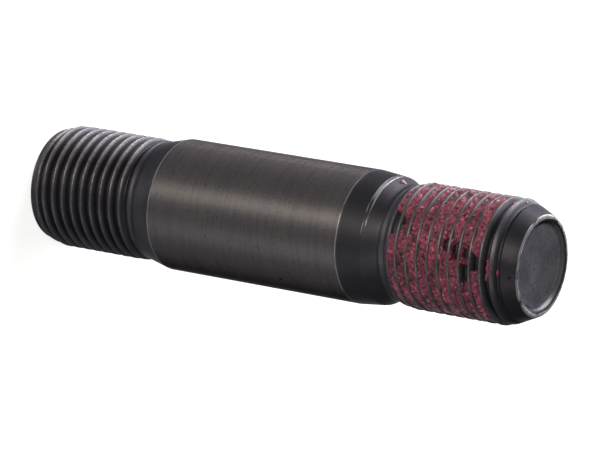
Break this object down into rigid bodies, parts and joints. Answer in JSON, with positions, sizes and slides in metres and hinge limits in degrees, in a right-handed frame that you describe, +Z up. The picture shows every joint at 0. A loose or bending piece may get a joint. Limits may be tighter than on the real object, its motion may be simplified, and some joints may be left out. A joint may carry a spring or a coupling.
{
  "type": "wheel stud",
  "caption": "Double-ended threaded wheel stud: a black ground shank between a nut thread and a hub thread whose grooves hold dried red thread-lock compound.",
  "frame": {"origin": "centre of the nut end's face, at the bottom", "axes": "+Z up along the stud's axis, from the nut end to the hub end; X and Y are across it"},
  "size_m": [0.017, 0.017, 0.0725],
  "materials": {
    "black_steel": "satin",
    "thread_lock": "matte"
  },
  "bodies": {
    "root": {"stud": "black_steel"}
  },
  "joints": []
}
